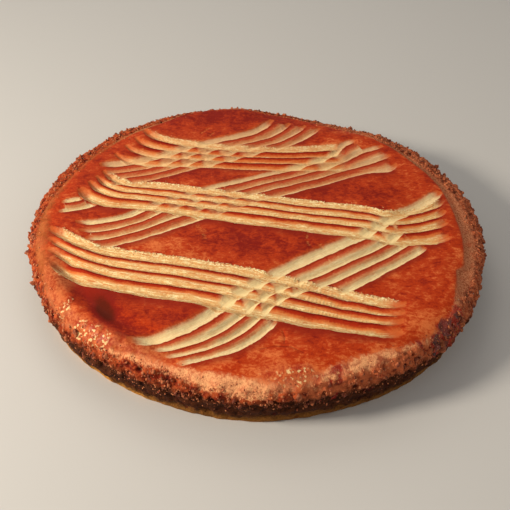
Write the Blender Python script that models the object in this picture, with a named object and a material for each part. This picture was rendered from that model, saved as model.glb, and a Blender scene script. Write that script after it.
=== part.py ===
# A round, shallow butter cake in one piece: a glazed top scored by a fork, a puffy border and a crumbly side.
# Lengths and plan positions are in millimetres, turned to metres where the mesh is made.
# The origin is at the middle of the flat base, and +Z is up. An azimuth of 0 degrees points along +X.

import bmesh
import bpy
import numpy as np
from mathutils import noise

metresPerMillimetre = 0.001

# Driving sizes
rimRadius = 115.0
baseRadius = 110.6
lidRadius = 103.0
lidHeight = 27.5
rimHeight = 18.0
forkGrooveDepth = 1.5
crumbRelief = 0.9
triangleBudget = 11600

# Border swell just inside the shoulder: height, where it peaks and how far it spreads
swellHeight = 0.9
swellRadius = 97.0
swellSpread = 9.0
shoulderPower = 2.2

# The outline isn't a true circle: its radius at these azimuths, in degrees
outlineRadii = {
    0: 116.0, 14: 118.3, 30: 116.5, 40: 119.0, 54: 115.0, 72: 112.2, 86: 114.4, 102: 117.6, 124: 118.8,
    140: 118.9, 158: 116.6, 172: 114.2, 182: 115.4, 206: 113.6, 218: 115.6, 236: 114.5, 252: 114.0,
    270: 115.9, 286: 114.2, 304: 115.2, 328: 116.3, 342: 114.4,
}
outlineSoftening = 14

# The lid of glazed crust ends at this distance from the middle, where the rim is at its driving radius
lidEdgeRadii = {
    0: 100.7, 10: 99.2, 20: 99.8, 30: 99.5, 40: 99.8, 50: 101.0, 60: 102.3, 75: 103.5, 90: 106.0,
    110: 107.0, 120: 103.5, 130: 102.0, 145: 101.5, 160: 102.0, 170: 103.5, 180: 105.0, 190: 104.5,
    200: 107.0, 207: 110.5, 213: 112.5, 222: 113.2, 232: 113.3, 240: 112.0, 248: 110.5, 256: 110.0,
    262: 109.4, 270: 109.6, 276: 111.5, 280: 110.0, 286: 109.5, 292: 107.5, 300: 108.0, 305: 110.5,
    312: 112.0, 318: 112.0, 322: 110.2, 326: 108.0, 330: 105.7, 334: 104.2, 337: 102.6, 340: 105.6,
    345: 104.5, 350: 103.4,
}
lidEdgeSoftening = 2

# Grooves of the fork: how much their width wavers and over what length, and the half width that is cut to the
# full depth
widthWaver = 0.12
waverLength = 9.0
typicalHalfWidth = 2.4

# Each stroke of the fork: stations along it, where each gives the far tine and the near tine, then the place
# of every tine between those two and half the width of its groove. Tapers are the lengths over which a stroke
# sets in and lifts off. Gaps are parts of a groove that were never cut: the tine, then the start and the end
# of that part as fractions of the stroke.
frontStroke = {
    "stations": (
        (-103.5, -16.5, -98.5, -41), (-76.5, -31.5, -72, -55.5), (-30, -40.5, -29.5, -64),
        (0, -47, 0, -72), (57.5, -64, 53, -82.5), (69, -64.5, 65, -82),
    ),
    "tines": (0, 0.33, 0.65, 1),
    "halfWidths": (3.2, 2.5, 2.5, 4.2),
    "tapers": (9, 12),
    "gaps": (),
}
middleStroke = {
    "stations": (
        (-85, 36.5, -94, 17.5), (-76, 28, -87, 10), (-67, 24, -76, 6), (-50, 23, -55, 4), (0, 15, 0, -5.5),
        (52, 7.5, 52, -14), (68, 3.5, 67, -18), (91, 11, 89.5, -16.5), (98.5, 18, 96.5, -14.5),
    ),
    "tines": (0, 0.31, 0.62, 1),
    "halfWidths": (2.6, 2.3, 2.4, 3.6),
    "tapers": (9, 9),
    "gaps": (),
}
rearStroke = {
    "stations": (
        (-68.5, 81, -81.5, 54.5), (-60.5, 73, -75, 49), (-46.5, 68, -60, 45), (-20, 63.5, -25, 44.5),
        (10, 63, 10, 44), (36, 66, 38, 45.5), (50, 69, 53, 49.5),
    ),
    "tines": (0, 0.33, 0.65, 1),
    "halfWidths": (3.0, 2.3, 2.2, 2.5),
    "tapers": (9, 9),
    "gaps": (),
}
rightCrossStroke = {
    "stations": (
        (-54, -92.5, -32.5, -104.5), (-42.5, -91, -19.5, -100), (-29.5, -84, -6.5, -94.5), (-18, -73, 6, -82),
        (-5, -57.5, 20, -64), (25, -33.5, 41, -55.5), (50, -16, 63.5, -38.5), (68, 0.5, 82, -23),
        (83, 11.5, 96.5, -11), (98, 25, 111, 10.5),
    ),
    "tines": (0, 0.43, 0.7, 1),
    "halfWidths": (4.0, 2.2, 2.2, 2.4),
    "tapers": (12, 7),
    "gaps": ((1, 0.78, 1), (2, 0.78, 1), (3, 0.79, 1), (3, 0.37, 0.53)),
}
middleCrossStroke = {
    "stations": (
        (-91.5, -11, -81.5, -31), (-80, -9.5, -73, -28), (-65, -3, -56.5, -20), (-50, 9.5, -40, -10),
        (-27, 22.5, -10, 8), (15, 43, 35.5, 31.5), (31.5, 52.5, 50.5, 40), (42.5, 61.5, 61.5, 44),
        (50.5, 72.5, 71.5, 46.5), (70, 80, 78, 51.5),
    ),
    "tines": (0, 0.34, 0.68, 1),
    "halfWidths": (2.5, 2.2, 2.2, 2.8),
    "tapers": (9, 9),
    "gaps": ((0, 0.93, 1),),
}
leftCrossStroke = {
    "stations": (
        (-88, 40.5, -80, 22.5), (-58.5, 52, -56, 31.5), (-38, 65, -30, 45.5), (-9, 79.5, 10, 66),
        (1, 88, 22, 74), (8, 97.5, 37, 90),
    ),
    "tines": (0, 0.38, 0.7, 1),
    "halfWidths": (3.5, 2.4, 2.4, 2.2),
    "tapers": (9, 10),
    "gaps": (),
}
leftShortStroke = {
    "stations": ((-101.5, 4, -101.5, -4), (-95.5, 6.5, -91.5, 0.5), (-89, 9.5, -81.5, 6)),
    "tines": (0, 1),
    "halfWidths": (2.0, 2.0),
    "tapers": (6, 6),
    "gaps": (),
}
forkStrokes = (
    frontStroke, middleStroke, rearStroke,
    rightCrossStroke, middleCrossStroke, leftCrossStroke, leftShortStroke,
)
gapFade = 0.04

# Mesh spacing before it is thinned to the triangle budget
topCells = 168
sideRings = 30


def smoothStep(start, end, value):
    share = np.clip((value - start) / (end - start), 0, 1)
    return share * share * (3 - 2 * share)


def mottle(x, y, z, cell, seed):
    # Smooth noise, mostly from -1 to 1, whose patches are about as wide as the cell
    spots = np.column_stack([np.ravel(x), np.ravel(y), np.ravel(z)]) / cell + 31.7 * seed
    return 1.6 * np.array([noise.noise(spot) for spot in spots.tolist()]).reshape(np.shape(x))


def bump(value, middle, spread):
    return np.exp(-(((value - middle) / spread) ** 2))


def arc(azimuth, start, end, fade=6.0):
    # 1 between the two azimuths, fading to 0 outside them, all in degrees
    offset = np.abs((azimuth - (start + end) / 2 + 180) % 360 - 180)
    return 1 - smoothStep((end - start) / 2, (end - start) / 2 + fade, offset)


def roundTable(table, azimuth, softening):
    # A radius that is given at a few azimuths, joined by straight stretches and then softened
    degrees = np.arange(360)
    joined = np.interp(degrees, list(table), list(table.values()), period=360)
    weights = bump(np.arange(-softening, softening + 1), 0, softening / 2)
    wrapped = np.concatenate([joined[-softening:], joined, joined[:softening]])
    softened = np.convolve(wrapped, weights / weights.sum(), "valid")
    return np.interp(azimuth, degrees, softened, period=360)


def outlineRadius(azimuth):
    return roundTable(outlineRadii, azimuth, outlineSoftening)


def strokeCurve(stations, pointsPerSpan=40):
    # A Catmull-Rom curve through the stations
    fixed = np.array(stations, float)
    fixed = np.vstack([2 * fixed[0] - fixed[1], fixed, 2 * fixed[-1] - fixed[-2]])
    spans = []
    for first, second, third, fourth in zip(fixed, fixed[1:], fixed[2:], fixed[3:]):
        t = np.linspace(0, 1, pointsPerSpan)[:, None]
        spans.append(0.5 * (2 * second + (third - first) * t
                            + (2 * first - 5 * second + 4 * third - fourth) * t ** 2
                            + (3 * second - first - 3 * third + fourth) * t ** 3))
    return np.vstack(spans)


def tineStrength(stroke, tine, lane):
    # 1 where the tine cut to its full depth, 0 where it didn't touch
    run = np.concatenate([[0], np.cumsum(np.linalg.norm(np.diff(lane, axis=0), axis=1))])
    startTaper, endTaper = stroke["tapers"]
    strength = smoothStep(0, startTaper, run) * smoothStep(0, endTaper, run[-1] - run)
    progress = np.linspace(0, 1, len(lane))
    for gapTine, start, end in stroke["gaps"]:
        if gapTine == tine:
            before = 1 - smoothStep(start - gapFade, start, progress)
            after = smoothStep(end, end + gapFade, progress)
            strength *= np.maximum(before, after)
    return strength


def grooveDepth(x, y):
    # How deep the fork cut at each place; where grooves cross, the deeper one all but decides
    total = np.zeros_like(x)
    for number, stroke in enumerate(forkStrokes):
        curve = strokeCurve(stroke["stations"])
        for tine, (place, halfWidth) in enumerate(zip(stroke["tines"], stroke["halfWidths"])):
            lane = curve[:, :2] * (1 - place) + curve[:, 2:] * place
            laneX, laneY = lane.T
            strength = tineStrength(stroke, tine, lane)
            waver = mottle(laneX, laneY, np.zeros_like(laneX), waverLength, 20 + number)
            width = halfWidth * (1 + widthWaver * waver) * (0.5 + 0.5 * strength ** 0.6)
            heading = np.gradient(lane, axis=0)
            margin = 2 * halfWidth
            near = np.flatnonzero((x > laneX.min() - margin) & (x < laneX.max() + margin)
                                  & (y > laneY.min() - margin) & (y < laneY.max() + margin))
            for part in np.array_split(near, len(near) // 4000 + 1):
                gapX = x[part, None] - laneX
                gapY = y[part, None] - laneY
                closest = (gapX ** 2 + gapY ** 2).argmin(axis=1)
                row = np.arange(len(part))
                gapX = gapX[row, closest]
                gapY = gapY[row, closest]
                share = np.clip(np.hypot(gapX, gapY) / width[closest], 0, 1)
                # The wall at the back of a groove is a gentle slope, the one at the front is steep
                behind = heading[closest, 0] * gapY > heading[closest, 1] * gapX
                wall = np.where(behind, (1 - share ** 1.5) ** 1.5, (1 - share ** 2.2) ** 1.2)
                depth = forkGrooveDepth * np.sqrt(strength[closest]) * (halfWidth / typicalHalfWidth) ** 0.3
                total[part] += (depth * wall) ** 4
    return total ** 0.25


def topHeight(x, y):
    level = np.zeros_like(x)
    azimuth = np.degrees(np.arctan2(y, x))
    reach = np.hypot(x, y) * rimRadius / outlineRadius(azimuth)
    height = lidHeight + swellHeight * bump(reach, swellRadius, swellSpread)
    # Gentle unevenness of the whole top
    height += 0.5 * mottle(x, y, level, 42.0, 3) + 0.25 * mottle(x, y, level, 17.0, 4)
    # The pillow along the front left, with a valley inside it
    height += arc(azimuth, 208, 243, 9) * (1.0 * bump(reach, 108.0, 4.0) - 1.7 * bump(reach, 99.0, 4.5))
    # The rear bump, and the lower stretch right of it
    height += 1.3 * arc(azimuth, 97, 116, 8) * bump(reach, 105, 8)
    height -= 1.2 * arc(azimuth, 60, 84, 9) * smoothStep(90, 106, reach)
    # The lid of glazed crust ends in a small step on the right and on the left, with a lower lip outside it
    lidEdge = roundTable(lidEdgeRadii, azimuth, lidEdgeSoftening)
    step = 1.7 * arc(azimuth, -28, 44, 7) + 0.7 * arc(azimuth, 54, 72, 6) + 0.6 * arc(azimuth, 124, 168, 8)
    lipInside = 1 - smoothStep(108, rimRadius, reach)
    height -= step * smoothStep(lidEdge - 0.6, lidEdge + 1.5, reach) * lipInside
    # The shoulder falls as a quarter of a superellipse to the widest level
    share = np.clip((reach - lidRadius) / (rimRadius - lidRadius), 0, 1)
    fall = lidHeight + swellHeight - rimHeight
    drop = fall * (1 - (1 - share ** shoulderPower) ** (1 / shoulderPower))
    return np.maximum(height - drop, rimHeight) - grooveDepth(x, y) * (1 - smoothStep(103, 110, reach))


def discPoints(cells):
    # A square grid mapped onto the unit disc, so that its cells stay nearly even
    line = np.linspace(-1, 1, cells + 1)
    u, v = np.meshgrid(line, line, indexing="ij")
    wide = np.abs(u) > np.abs(v)
    reach = np.where(wide, u, v)
    safe = np.where(reach == 0, 1, reach)
    turn = np.where(wide, np.pi / 4 * v / safe, np.pi / 2 - np.pi / 4 * u / safe)
    return reach * np.cos(turn), reach * np.sin(turn)


def gridBorder(cells):
    # The grid's outer corners in order, anticlockwise
    right = [(cells, row) for row in range(cells)]
    far = [(column, cells) for column in range(cells, 0, -1)]
    left = [(0, row) for row in range(cells, 0, -1)]
    near = [(column, 0) for column in range(cells)]
    return right + far + left + near


def sidePoint(azimuth, share):
    # Down the outside, from the edge of the lid at share 0 over the widest level at one half to the base at 1
    over = np.clip(share / 0.5, 0, 1) * np.pi / 2
    under = np.clip((share - 0.5) / 0.5, 0, 1)
    shoulder = lidRadius + (rimRadius - lidRadius) * np.sin(over)
    reach = shoulder - (rimRadius - baseRadius) * under ** 1.2
    radius = reach * outlineRadius(azimuth) / rimRadius
    turn = np.radians(azimuth)
    x = radius * np.cos(turn)
    y = radius * np.sin(turn)
    z = np.where(share < 0.5, topHeight(x, y), rimHeight * (1 - under))
    # Crumbly relief, growing from the edge of the lid and fading towards the base
    crumb = mottle(x, y, z, 5.5, 7) + 0.7 * mottle(x, y, z, 3.0, 8)
    relief = crumbRelief * crumb * smoothStep(0.12, 0.42, share) * (1 - 0.7 * smoothStep(0.9, 1, share))
    outward = relief * np.sin(over)
    return x + outward * np.cos(turn), y + outward * np.sin(turn), z + relief * np.cos(over)


def cakeShell():
    # The top and the side as one open sheet of quads, with its lower edge on the ground
    unitX, unitY = discPoints(topCells)
    azimuth = np.degrees(np.arctan2(unitY, unitX))
    stretch = lidRadius * (1 + (outlineRadius(azimuth) / rimRadius - 1) * np.hypot(unitX, unitY) ** 4)
    topX = (unitX * stretch).ravel()
    topY = (unitY * stretch).ravel()
    points = [np.column_stack([topX, topY, topHeight(topX, topY)])]
    corner = np.arange((topCells + 1) ** 2).reshape(topCells + 1, topCells + 1)
    quads = [np.column_stack([corner[:-1, :-1].ravel(), corner[1:, :-1].ravel(),
                              corner[1:, 1:].ravel(), corner[:-1, 1:].ravel()])]
    border = gridBorder(topCells)
    inner = np.array([corner[column, row] for column, row in border])
    borderAzimuth = np.array([azimuth[column, row] for column, row in border])
    for ring in range(1, sideRings + 1):
        share = np.full(len(inner), ring / sideRings)
        points.append(np.column_stack(sidePoint(borderAzimuth, share)))
        outer = len(topX) + (ring - 1) * len(border) + np.arange(len(border))
        quads.append(np.column_stack([inner, outer, np.roll(outer, -1), np.roll(inner, -1)]))
        inner = outer
    return np.vstack(points) * metresPerMillimetre, np.vstack(quads)


def thinned(mesh):
    # Fewer triangles on the flat ground between the grooves, and most of them along the groove edges
    helper = bpy.data.objects.new("helper", mesh)
    bpy.context.scene.collection.objects.link(helper)
    decimate = helper.modifiers.new("Thin", "DECIMATE")
    decimate.ratio = triangleBudget / (2 * len(mesh.polygons))
    thin = bpy.data.meshes.new_from_object(helper.evaluated_get(bpy.context.evaluated_depsgraph_get()))
    bpy.data.objects.remove(helper)
    return thin


def closeBase(mesh):
    body = bmesh.new()
    body.from_mesh(mesh)
    lowerEdge = [edge for edge in body.edges if edge.is_boundary]
    for edge in lowerEdge:
        for vertex in edge.verts:
            vertex.co.z = 0
    bmesh.ops.holes_fill(body, edges=lowerEdge)
    bmesh.ops.recalc_face_normals(body, faces=body.faces)
    bmesh.ops.triangulate(body, faces=body.faces)
    body.to_mesh(mesh)
    body.free()


def glazedCrust():
    material = bpy.data.materials.new("Glazed crust")
    material.use_nodes = True
    surface = material.node_tree.nodes["Principled BSDF"]
    surface.inputs["Base Color"].default_value = (0.50, 0.15, 0.04, 1)
    surface.inputs["Roughness"].default_value = 0.45
    surface.inputs["Metallic"].default_value = 0.0
    return material


def buildCake():
    points, quads = cakeShell()
    sheet = bpy.data.meshes.new("sheet")
    sheet.from_pydata(points.tolist(), [], quads.tolist())
    mesh = thinned(sheet)
    closeBase(mesh)
    mesh.name = "cake"
    mesh.shade_smooth()
    mesh.set_sharp_from_angle(angle=np.radians(60))
    mesh.materials.append(glazedCrust())
    cake = bpy.data.objects.new("cake", mesh)
    bpy.context.scene.collection.objects.link(cake)


for leftover in list(bpy.data.objects):
    bpy.data.objects.remove(leftover)
buildCake()
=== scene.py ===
import math

import bmesh
import bpy
import numpy as np
from mathutils import Matrix, Vector, noise


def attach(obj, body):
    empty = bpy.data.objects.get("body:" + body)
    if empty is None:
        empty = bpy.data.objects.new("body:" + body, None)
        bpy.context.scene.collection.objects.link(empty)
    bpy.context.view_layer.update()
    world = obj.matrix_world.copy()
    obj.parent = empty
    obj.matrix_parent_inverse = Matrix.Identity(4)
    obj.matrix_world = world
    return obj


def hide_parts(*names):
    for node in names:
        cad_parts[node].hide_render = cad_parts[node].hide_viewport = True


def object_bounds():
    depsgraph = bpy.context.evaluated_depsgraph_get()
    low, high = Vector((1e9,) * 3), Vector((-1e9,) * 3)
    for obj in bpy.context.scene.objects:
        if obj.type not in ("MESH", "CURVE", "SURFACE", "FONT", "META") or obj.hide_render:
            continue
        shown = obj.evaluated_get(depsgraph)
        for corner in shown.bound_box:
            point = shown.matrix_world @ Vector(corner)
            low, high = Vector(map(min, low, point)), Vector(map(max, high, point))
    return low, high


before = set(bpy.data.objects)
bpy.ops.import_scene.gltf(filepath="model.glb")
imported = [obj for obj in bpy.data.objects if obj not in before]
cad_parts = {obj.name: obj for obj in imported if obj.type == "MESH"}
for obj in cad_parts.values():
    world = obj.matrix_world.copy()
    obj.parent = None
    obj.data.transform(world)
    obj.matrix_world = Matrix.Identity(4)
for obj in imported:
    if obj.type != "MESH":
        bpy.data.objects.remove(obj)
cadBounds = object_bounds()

mm = 0.001  # shapes are worked out in millimetres and turned to metres where a mesh is made
scene = bpy.context.scene


def placed(name, data):
    # A new object in the scene
    made = bpy.data.objects.new(name, data)
    scene.collection.objects.link(made)
    return made


# Camera, floor and soft studio light

viewpoint = {
    "elevation": 37.23,       # degrees above the table
    "distance": 410.71,       # mm, from the point looked at
    "aimHeight": 19.2,
    "pan": -0.061,
    "tilt": -2.001,
    "roll": 1.77,
    "focalPixels": 792.9,     # for a picture 510 pixels wide
    "picturePixels": 510,
    "sensorWidth": 36.0,
    "nearest": 10.0,          # mm; closer things aren't drawn
}


def turned(first, second, angle):
    # Two vectors at right angles, both turned by the angle, the first one towards the second
    cosine, sine = math.cos(angle), math.sin(angle)
    return first * cosine + second * sine, second * cosine - first * sine


def placeCamera(view):
    elevation, pan, tilt, roll = (math.radians(view[key]) for key in ("elevation", "pan", "tilt", "roll"))
    place = Vector((0, -math.cos(elevation), math.sin(elevation))) * view["distance"]
    forward = -place.normalized()
    right = Vector((1, 0, 0))
    up = right.cross(forward)
    forward, right = turned(forward, right, pan)
    forward, up = turned(forward, up, tilt)
    right, up = turned(right, up, roll)
    place += Vector((0, 0, view["aimHeight"]))
    lens = bpy.data.cameras.new("camera")
    lens.sensor_width = view["sensorWidth"]
    lens.lens = view["sensorWidth"] * view["focalPixels"] / view["picturePixels"]
    lens.clip_start = view["nearest"] * mm
    camera = placed("camera", lens)
    turn = Matrix((right, up, -forward)).transposed().to_4x4()
    camera.matrix_world = Matrix.Translation(place * mm) @ turn
    scene.camera = camera


studio = {
    "floorSize": 4.0,
    "floorColour": (0.60, 0.59, 0.57, 1),
    "floorRoughness": 0.85,
    "worldColour": (1.0, 0.955, 0.90, 1),
    "worldStrength": 0.30,
    # azimuth and elevation in degrees, distance and size in metres, watts, colour
    "lights": {
        "key": (201, 30, 0.85, 0.20, 7.4, (1.0, 0.90, 0.76)),
        "fill": (320, 45, 1.1, 0.9, 1.2, (1.0, 0.93, 0.86)),
        "rear": (110, 50, 1.0, 0.7, 1.6, (1.0, 0.93, 0.84)),
    },
}


def aimed(place):
    return (-Vector(place)).to_track_quat("-Z", "Y").to_euler()


def lightStudio(setup):
    world = bpy.data.worlds.new("studio")
    world.use_nodes = True
    background = world.node_tree.nodes["Background"]
    background.inputs["Color"].default_value = setup["worldColour"]
    background.inputs["Strength"].default_value = setup["worldStrength"]
    scene.world = world
    for name, (azimuth, elevation, distance, size, power, colour) in setup["lights"].items():
        lamp = bpy.data.lights.new(name, "AREA")
        lamp.shape = "DISK"
        lamp.size = size
        lamp.energy = power
        lamp.color = colour
        light = placed(name, lamp)
        level = math.radians(elevation)
        turn = math.radians(azimuth)
        light.location = distance * Vector(
            (math.cos(level) * math.cos(turn), math.cos(level) * math.sin(turn), math.sin(level)))
        light.rotation_euler = aimed(light.location)
    half = setup["floorSize"] / 2
    corners = [(-half, -half, 0), (half, -half, 0), (half, half, 0), (-half, half, 0)]
    plane = bpy.data.meshes.new("floor")
    plane.from_pydata(corners, [], [(0, 1, 2, 3)])
    plaster = bpy.data.materials.new("pale floor")
    plaster.use_nodes = True
    surface = plaster.node_tree.nodes["Principled BSDF"]
    surface.inputs["Base Color"].default_value = setup["floorColour"]
    surface.inputs["Roughness"].default_value = setup["floorRoughness"]
    plane.materials.append(plaster)
    floor = placed("floor", plane)


# Arithmetic with nodes: one socket with the usual operators, and one method that adds any node

class Wire:
    def __init__(self, tree, socket):
        self.tree = tree
        self.socket = socket

    def node(self, kind, settings, inputs, output=0):
        added = self.tree.nodes.new(kind)
        for name, value in settings.items():
            setattr(added, name, value)
        for place, value in inputs.items():
            if isinstance(value, Wire):
                self.tree.links.new(value.socket, added.inputs[place])
            else:
                added.inputs[place].default_value = value
        return Wire(self.tree, added.outputs[output])

    def maths(self, operation, first, second):
        return self.node("ShaderNodeMath", {"operation": operation}, {0: first, 1: second})

    def __add__(self, other):
        return self.maths("ADD", self, other)

    __radd__ = __add__

    def __sub__(self, other):
        return self.maths("SUBTRACT", self, other)

    def __rsub__(self, other):
        return self.maths("SUBTRACT", other, self)

    def __mul__(self, other):
        return self.maths("MULTIPLY", self, other)

    __rmul__ = __mul__

    def __truediv__(self, other):
        return self.maths("DIVIDE", self, other)

    def __pow__(self, other):
        return self.maths("POWER", self, other)

    def between(self, low, high):
        # 0 below low and 1 above high, smooth in the middle; turned round where low is the larger
        if low > high:
            return 1 - self.between(high, low)
        return self.node("ShaderNodeMapRange", {"interpolation_type": "SMOOTHSTEP"},
                         {"Value": self, "From Min": low, "From Max": high})

    def towards(self, colour, share):
        # This colour blended with a share of another; the share may be a plain number
        return self.node("ShaderNodeMix", {"data_type": "RGBA"}, {0: share, 6: self, 7: colour}, 2)

    def blend(self, first, second):
        # This wire is the share of the second colour
        return self.node("ShaderNodeMix", {"data_type": "RGBA"}, {0: self, 6: first, 7: second}, 2)

    def stretched(self, x, y, z):
        return self.node("ShaderNodeVectorMath", {"operation": "MULTIPLY"}, {0: self, 1: (x, y, z)})

    def clouds(self, size, detail=2.0, roughness=0.5, distortion=0.0):
        # Noise whose patches are this many mm wide
        return self.node("ShaderNodeTexNoise", {}, {
            "Vector": self, "Scale": 1 / size, "Detail": detail, "Roughness": roughness,
            "Distortion": distortion})


def tint(code):
    # A web colour as linear red, green, blue and alpha
    parts = [int(code[start:start + 2], 16) / 255 for start in (0, 2, 4)]
    linear = [part / 12.92 if part <= 0.04045 else ((part + 0.055) / 1.055) ** 2.4 for part in parts]
    return (*linear, 1.0)


def newMaterial(name):
    # The material, its surface shader and the place on the piece in millimetres
    material = bpy.data.materials.new(name)
    material.use_nodes = True
    tree = material.node_tree
    surface = tree.nodes["Principled BSDF"]
    coordinates = tree.nodes.new("ShaderNodeTexCoord")
    place = Wire(tree, coordinates.outputs["Object"]).stretched(1 / mm, 1 / mm, 1 / mm)
    return material, surface, place


def plug(wire, surface, name):
    wire.tree.links.new(wire.socket, surface.inputs[name])


def addBump(heights, surface, strength, distance):
    inputs = {"Height": heights, "Strength": strength, "Distance": distance}
    plug(heights.node("ShaderNodeBump", {}, inputs), surface, "Normal")


# The cake's shape, the same as the solid's

shape = {
    "rimRadius": 115.0,
    "baseRadius": 110.6,
    "lidRadius": 103.0,
    "lidHeight": 27.5,
    "rimHeight": 18.0,
    "grooveDepth": 1.5,
    "crumbRelief": 0.9,
    "swellHeight": 0.9,
    "swellRadius": 97.0,
    "swellSpread": 9.0,
    "shoulderPower": 2.2,
    "outlineSoftening": 14,
    "outline": {  # radius at these azimuths in degrees
        0: 116.0, 14: 118.3, 30: 116.5, 40: 119.0, 54: 115.0, 72: 112.2, 86: 114.4, 102: 117.6, 124: 118.8,
        140: 118.9, 158: 116.6, 172: 114.2, 182: 115.4, 206: 113.6, 218: 115.6, 236: 114.5, 252: 114.0,
        270: 115.9, 286: 114.2, 304: 115.2, 328: 116.3, 342: 114.4,
    },
    "glazeEdge": {  # how far out the glaze reaches at these azimuths, when the rim is at 115
        0: 100.7, 10: 99.2, 20: 99.8, 30: 99.5, 40: 99.8, 50: 101.0, 60: 102.3, 75: 103.5, 90: 106.0,
        110: 107.0, 120: 103.5, 130: 102.0, 145: 101.5, 160: 102.0, 170: 103.5, 180: 105.0, 190: 104.5,
        200: 107.0, 207: 110.5, 213: 112.5, 222: 113.2, 232: 113.3, 240: 112.0, 248: 110.5, 256: 110.0,
        262: 109.4, 270: 109.6, 276: 111.5, 280: 110.0, 286: 109.5, 292: 107.5, 300: 108.0, 305: 110.5,
        312: 112.0, 318: 112.0, 322: 110.2, 326: 108.0, 330: 105.7, 334: 104.2, 337: 102.6, 340: 105.6,
        345: 104.5, 350: 103.4,
    },
    "crumbStart": {  # where the plain lip turns to crumbs
        0: 107.5, 10: 106.0, 20: 104.0, 30: 103.5, 40: 103.0, 60: 103.5, 80: 105.0, 100: 108.0,
        120: 104.5, 140: 103.5, 160: 103.5, 175: 107.0, 190: 110.5, 200: 112.0, 210: 112.5, 225: 113.5,
        240: 112.5, 250: 112.5, 260: 113.5, 270: 114.5, 280: 113.5, 290: 112.5, 300: 112.3, 306: 111.5,
        312: 112.5, 318: 112.5, 322: 112.0, 330: 109.5, 340: 111.0, 350: 110.0,
    },
    # Forms of the border: the azimuths they span and fade beside, middle and spread of a crest or a valley
    "puffyBorder": {
        "span": (208, 243, 9), "crest": (108.0, 4.0), "rise": 1.0, "valley": (99.0, 4.5), "fall": 1.7},
    "rearBump": {"span": (97, 116, 8), "crest": (105, 8), "rise": 1.3},
    "rearDip": {"span": (60, 84, 9), "slope": (90, 106), "fall": 1.2},
    "steps": (  # where the glazed lid ends: height, azimuths and how far the step fades beside them
        (1.7, (-28, 44, 7)), (0.7, (54, 72, 6)), (0.6, (124, 168, 8)),
    ),
    "reliefLimit": 1.7,
    "topCells": 420,
    "sideRings": 62,
    "triangles": 186000,
}

# Strokes of the fork
# stations    points along the stroke: x and y of its far tine, then of its near tine
# tines       each tine's place between those two, from 0 to 1
# halfWidths  half the width of each tine's groove
# tapers      mm over which the grooves reach their depth, at the start and at the end
# fades       mm over which their bare dough appears, at the start and at the end
# torn        how torn the glaze is along the far edge
# soft        shares of the stroke's length, and the share of a strip that its fade takes at each of them
# crossedBy   the stroke drawn over this one, counted from the front, and how much of this one it hides
# gaps        parts of a groove that were never cut: tine, start and end as shares of the length
frontStroke = {
    "stations": (
        (-103.5, -16.5, -98.5, -41), (-76.5, -31.5, -72, -55.5), (-30, -40.5, -29.5, -64),
        (0, -47, 0, -72), (57.5, -64, 53, -82.5), (69, -64.5, 65, -82),
    ),
    "tines": (0, 0.33, 0.65, 1),
    "halfWidths": (3.2, 2.5, 2.5, 4.2),
    "tapers": (9, 12),
    "fades": (18, 18),
    "torn": 1,
    "soft": ((0, 0.2, 0.5, 0.75, 1), (0.45, 0.38, 0.40, 0.57, 0.52)),
}
middleStroke = {
    "stations": (
        (-85, 36.5, -94, 17.5), (-76, 28, -87, 10), (-67, 24, -76, 6), (-50, 23, -55, 4), (0, 15, 0, -5.5),
        (52, 7.5, 52, -14), (68, 3.5, 67, -18), (91, 11, 89.5, -16.5), (98.5, 18, 96.5, -14.5),
    ),
    "tines": (0, 0.31, 0.62, 1),
    "halfWidths": (2.6, 2.3, 2.4, 3.6),
    "tapers": (9, 9),
    "fades": (15, 12),
    "torn": 1,
    "soft": ((0, 0.3, 0.6, 0.8, 1), (0.46, 0.40, 0.44, 0.54, 0.5)),
}
rearStroke = {
    "stations": (
        (-68.5, 81, -81.5, 54.5), (-60.5, 73, -75, 49), (-46.5, 68, -60, 45), (-20, 63.5, -25, 44.5),
        (10, 63, 10, 44), (36, 66, 38, 45.5), (50, 69, 53, 49.5),
    ),
    "tines": (0, 0.33, 0.65, 1),
    "halfWidths": (3.0, 2.3, 2.2, 2.5),
    "tapers": (9, 9),
    "fades": (20, 11),
    "torn": 0.8,
    "soft": ((0, 1), (0.72, 0.70)),
}
rightCrossStroke = {
    "stations": (
        (-54, -92.5, -32.5, -104.5), (-42.5, -91, -19.5, -100), (-29.5, -84, -6.5, -94.5),
        (-18, -73, 6, -82), (-5, -57.5, 20, -64), (25, -33.5, 41, -55.5), (50, -16, 63.5, -38.5),
        (68, 0.5, 82, -23), (83, 11.5, 96.5, -11), (98, 25, 111, 10.5),
    ),
    "tines": (0, 0.43, 0.7, 1),
    "halfWidths": (4.0, 2.2, 2.2, 2.4),
    "tapers": (12, 7),
    "fades": (12, 9),
    "torn": 0,
    "soft": ((0, 0.5, 1), (0.54, 0.62, 0.66)),
    "gaps": ((1, 0.78, 1), (2, 0.78, 1), (3, 0.79, 1), (3, 0.37, 0.53)),
}
middleCrossStroke = {
    "stations": (
        (-91.5, -11, -81.5, -31), (-80, -9.5, -73, -28), (-65, -3, -56.5, -20), (-50, 9.5, -40, -10),
        (-27, 22.5, -10, 8), (15, 43, 35.5, 31.5), (31.5, 52.5, 50.5, 40), (42.5, 61.5, 61.5, 44),
        (50.5, 72.5, 71.5, 46.5), (70, 80, 78, 51.5),
    ),
    "tines": (0, 0.34, 0.68, 1),
    "halfWidths": (2.5, 2.2, 2.2, 2.8),
    "tapers": (9, 9),
    "fades": (11, 11),
    "torn": 0,
    "soft": ((0, 0.65, 1), (0.70, 0.80, 0.60)),
    "crossedBy": (1, 0.68),
    "gaps": ((0, 0.93, 1),),
}
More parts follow.
